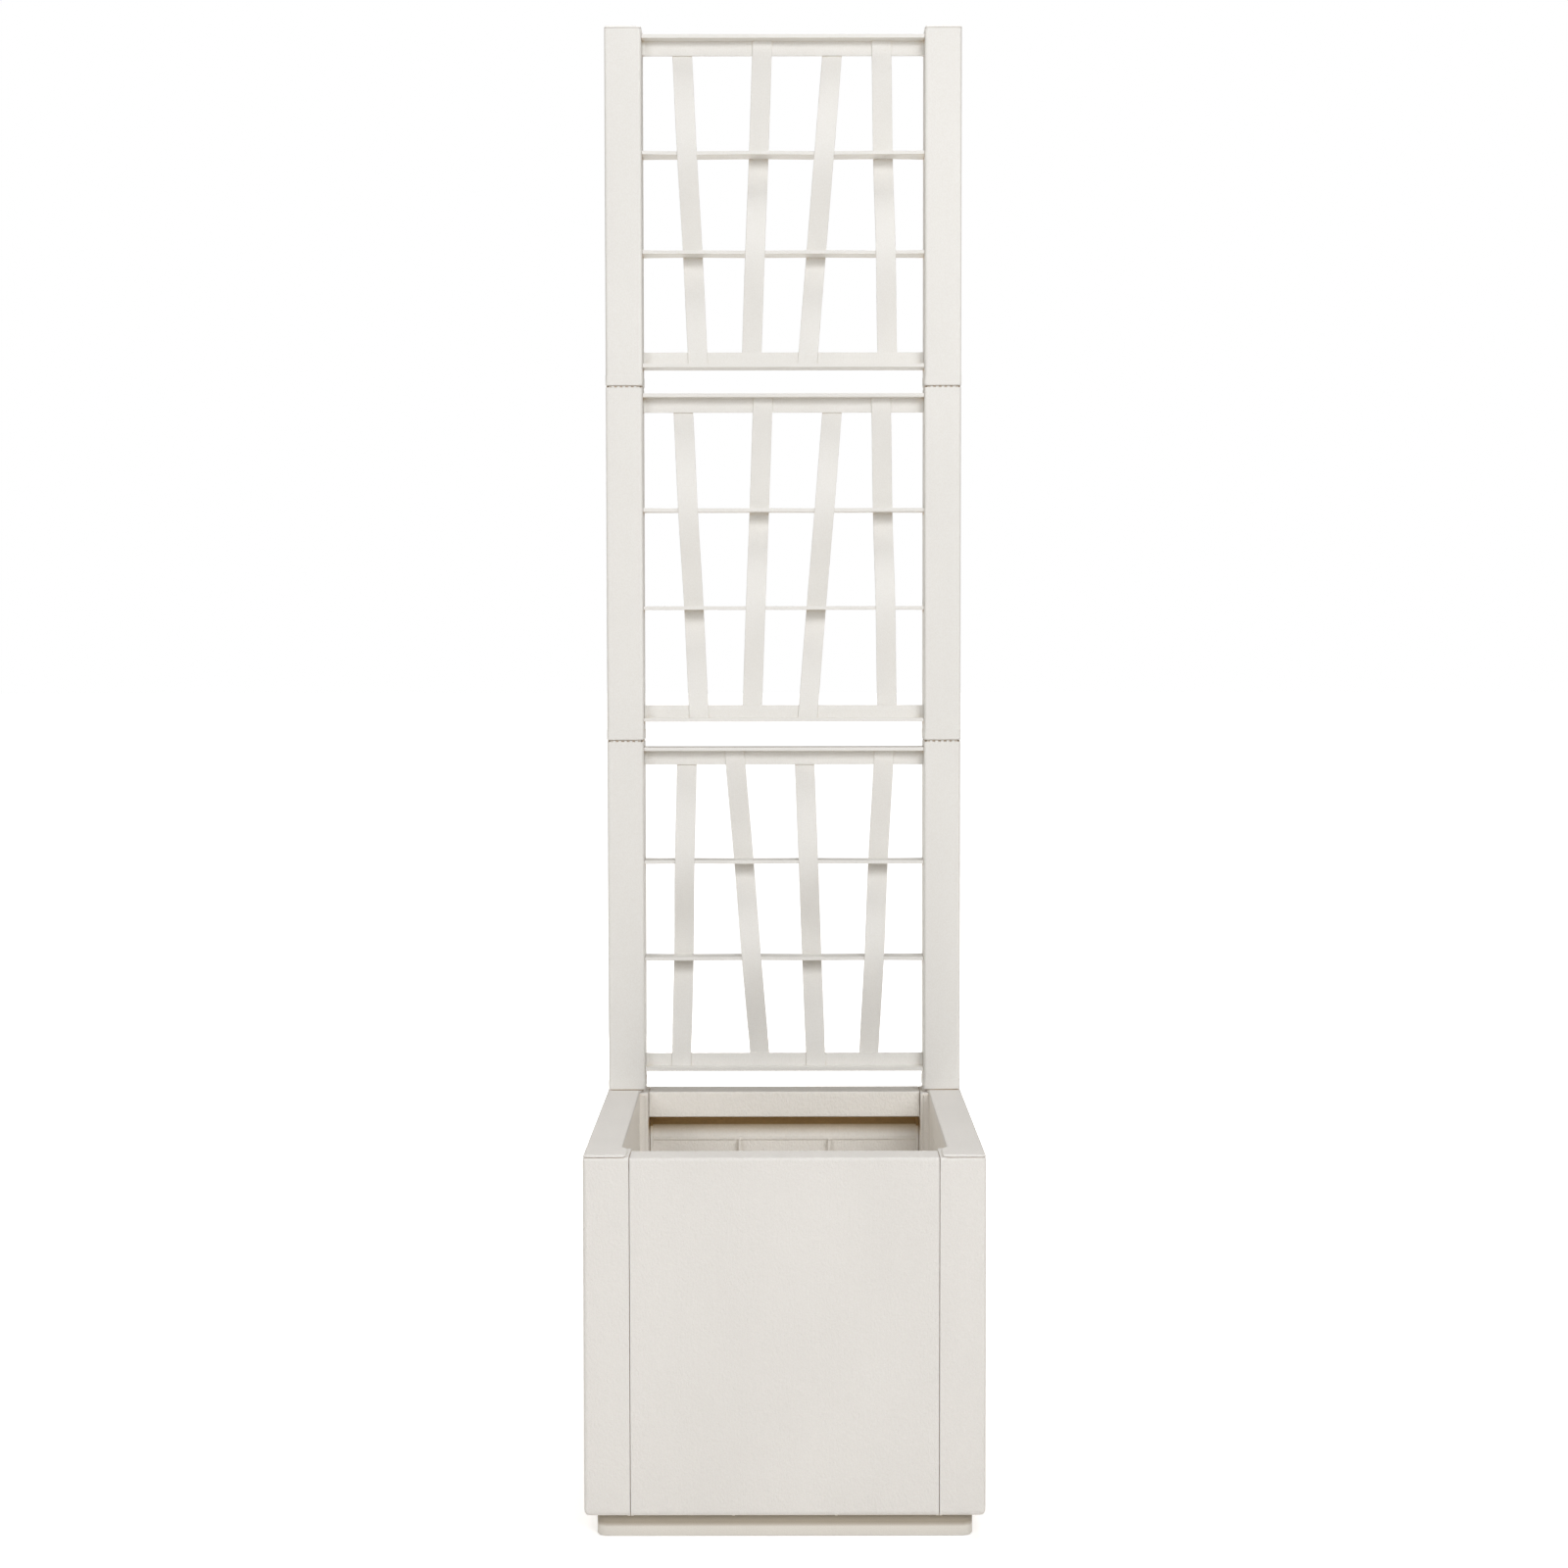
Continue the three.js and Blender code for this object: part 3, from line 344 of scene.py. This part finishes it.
# ---- small tabs that show in the shadow lines between the post sections ----
FEET = [0.783, 1.179]  # where one section's foot stands over the one below
TAB_FAR, TAB_NEAR = 0.0201, 0.0189  # from the post's axis
TAB_WIDTH, TAB_PITCH, TABS = 0.0032, 0.0062, 5  # TABS to each of a post's four faces
TAB_LOW, TAB_HIGH = -0.0019, -0.0003  # from the foot above
BOX_FACES = [
    (0, 1, 3, 2), (4, 6, 7, 5), (0, 4, 5, 1), (2, 3, 7, 6), (0, 2, 6, 4), (1, 5, 7, 3),
]


def box_corners(low, high):
    return [
        Vector((x, y, z))
        for x in (low[0], high[0]) for y in (low[1], high[1]) for z in (low[2], high[2])
    ]


def make_tabs(side):
    low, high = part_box("trellis_post_" + side + "_lower")
    middle = (Vector(low) + Vector(high)) / 2
    corners, faces = [], []
    for foot in FEET:
        for turn in range(4):
            spin = Matrix.Rotation(math.radians(90 * turn), 3, "Z")
            for k in range(TABS):
                x = (k - (TABS - 1) / 2) * TAB_PITCH
                first = len(corners)
                for corner in box_corners(
                    (x - TAB_WIDTH / 2, -TAB_FAR, TAB_LOW),
                    (x + TAB_WIDTH / 2, -TAB_NEAR, TAB_HIGH),
                ):
                    turned = spin @ corner
                    corners.append((middle.x + turned.x, middle.y + turned.y, foot + turned.z))
                faces += [[first + corner for corner in face] for face in BOX_FACES]
    mesh = bpy.data.meshes.new("joint_tabs_" + side)
    mesh.from_pydata(corners, [], faces)
    mesh.materials.append(LOOKS["trellis_resin"])
    tabs = bpy.data.objects.new("joint_tabs_" + side, mesh)
    bpy.context.scene.collection.objects.link(tabs)
    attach(tabs, "root")


make_tabs("left")
make_tabs("right")


# ---- floor and backdrop ----
GLOW_START, GLOW_FULL = 0.35, 1.1  # metres from the middle: the glow grows between them
GLOW_NEAR = 0.55  # its strength near the object, against 1 far off
FLOOR_COLOUR = (0.82, 0.80, 0.77)
FLOOR_HALF = 40.0
FLOOR_DROP = 0.0005  # keeps the floor just under the part


def floor_material():
    """A plain pale floor that keeps the object's shadow and turns white a little way off. The
    glow that whitens it is only for the camera, mirrors and glass: the light that it throws
    back is a plain floor's."""
    material = bpy.data.materials.new("floor_white")
    n = Nodes(material)
    path = n.add("ShaderNodeLightPath").outputs
    seen = n.reckon("ADD", path["Is Camera Ray"], path["Is Glossy Ray"], clamp=True)
    seen = n.reckon("ADD", seen, path["Is Transmission Ray"], clamp=True)

    apart = n.add("ShaderNodeVectorMath", operation="LENGTH")
    n.link(n.where(), apart.inputs[0])
    strength = n.rescale(
        apart.outputs["Value"], (GLOW_START, GLOW_FULL), (GLOW_NEAR, 1.0),
        interpolation_type="SMOOTHSTEP",
    )

    matt = n.add("ShaderNodeBsdfDiffuse")
    matt.inputs["Color"].default_value = (*FLOOR_COLOUR, 1)
    glow = n.add("ShaderNodeEmission")
    glow.inputs["Color"].default_value = (*WHITE, 1)
    n.link(n.reckon("MULTIPLY", seen, strength), glow.inputs["Strength"])
    both = n.add("ShaderNodeAddShader")
    n.link(matt.outputs[0], both.inputs[0])
    n.link(glow.outputs[0], both.inputs[1])
    n.finish(both)
    return material


def make_floor():
    mesh = bpy.data.meshes.new("floor")
    far = FLOOR_HALF
    corners = [(-far, -far, 0), (far, -far, 0), (far, far, 0), (-far, far, 0)]
    mesh.from_pydata(corners, [], [(0, 1, 2, 3)])
    floor = bpy.data.objects.new("floor", mesh)
    bpy.context.scene.collection.objects.link(floor)
    floor.location.z = -FLOOR_DROP
    mesh.materials.append(floor_material())


make_floor()


# ---- light ----
SKY_COLOUR, SKY_STRENGTH = (1.0, 0.94, 0.86), 0.19
COOL, NEUTRAL, WARM = (0.955, 0.97, 1.0), (0.98, 0.985, 1.0), (1.0, 0.99, 0.97)
LAMPS = [  # name, place, height that it points at, width and length, watts, colour, glints
    ("key_right", (1.35, -4.2, 3.03), 0.7, (1.35, 1.35), 56.0, COOL, True),
    ("front_right", (2.1, -3.6, 2.2), 0.7, (1.8, 1.8), 47.2, COOL, True),
    ("front_left", (-2.1, -3.6, 2.2), 0.7, (1.8, 1.8), 45.8, COOL, True),
    ("top", (0.0, 0.1, 3.6), 0.8, (2.0, 2.0), 47.0, NEUTRAL, True),
    # these lift the faces that the front lamps miss, and leave no glints
    ("back", (-0.9, 2.9, 0.6), 0.75, (1.6, 0.8), 24.0, WARM, False),
    ("side_left", (-3.4, 0.5, 1.1), 0.75, (1.4, 1.4), 14.0, WARM, False),
    ("side_right", (3.4, 0.5, 1.1), 0.75, (1.4, 1.4), 14.0, WARM, False),
]


def make_world():
    """A soft warm sky that lights the object, and that the camera sees as white."""
    world = bpy.data.worlds.new("studio")
    bpy.context.scene.world = world
    n = Nodes(world)
    choose = n.add("ShaderNodeMixShader")
    n.link(n.add("ShaderNodeLightPath").outputs["Is Camera Ray"], choose.inputs["Fac"])
    for slot, colour, strength in ((1, SKY_COLOUR, SKY_STRENGTH), (2, WHITE, 1.0)):
        light = n.add("ShaderNodeBackground")
        light.inputs["Color"].default_value = (*colour, 1)
        light.inputs["Strength"].default_value = strength
        n.link(light.outputs[0], choose.inputs[slot])
    n.finish(choose, "ShaderNodeOutputWorld")


def area_light(name, place, target_height, size, power, colour, glints):
    data = bpy.data.lights.new(name, "AREA")
    data.shape = "RECTANGLE"
    data.size, data.size_y = size
    data.energy = power
    data.color = colour
    lamp = bpy.data.objects.new(name, data)
    bpy.context.scene.collection.objects.link(lamp)
    lamp.location = place
    lamp.rotation_mode = "QUATERNION"
    towards = Vector((0.0, 0.0, target_height)) - Vector(place)
    lamp.rotation_quaternion = towards.to_track_quat("-Z", "Y")
    lamp.visible_camera = False
    lamp.visible_glossy = glints


make_world()
for settings in LAMPS:
    area_light(*settings)


# ---- camera, from a fit to the photograph's edges in a 1600 x 1600 frame ----
FRAME_SIZE = 1600  # pixels, as are FOCAL and PRINCIPAL_Y
FOCAL = 2539.5
PRINCIPAL_Y = 780
PITCH, ROLL, YAW = -2.835, 0.070, -0.015  # degrees
PLACE = (-0.0006, -2.6370, 0.8941)


def make_camera():
    data = bpy.data.cameras.new("camera")
    data.sensor_width = 36
    data.sensor_fit = "HORIZONTAL"
    data.lens = FOCAL / FRAME_SIZE * data.sensor_width
    data.shift_y = (PRINCIPAL_Y - FRAME_SIZE / 2) / FRAME_SIZE
    camera = bpy.data.objects.new("camera", data)
    bpy.context.scene.collection.objects.link(camera)
    turn = (
        Matrix.Rotation(math.radians(YAW), 4, "Z")
        @ Matrix.Rotation(math.radians(PITCH), 4, "X")
        @ Matrix.Rotation(math.radians(ROLL), 4, "Y")
        @ Matrix.Rotation(math.radians(90), 4, "X")
    )
    camera.matrix_world = Matrix.Translation(PLACE) @ turn
    bpy.context.scene.camera = camera


make_camera()
bpy.context.scene.view_settings.view_transform = "Standard"
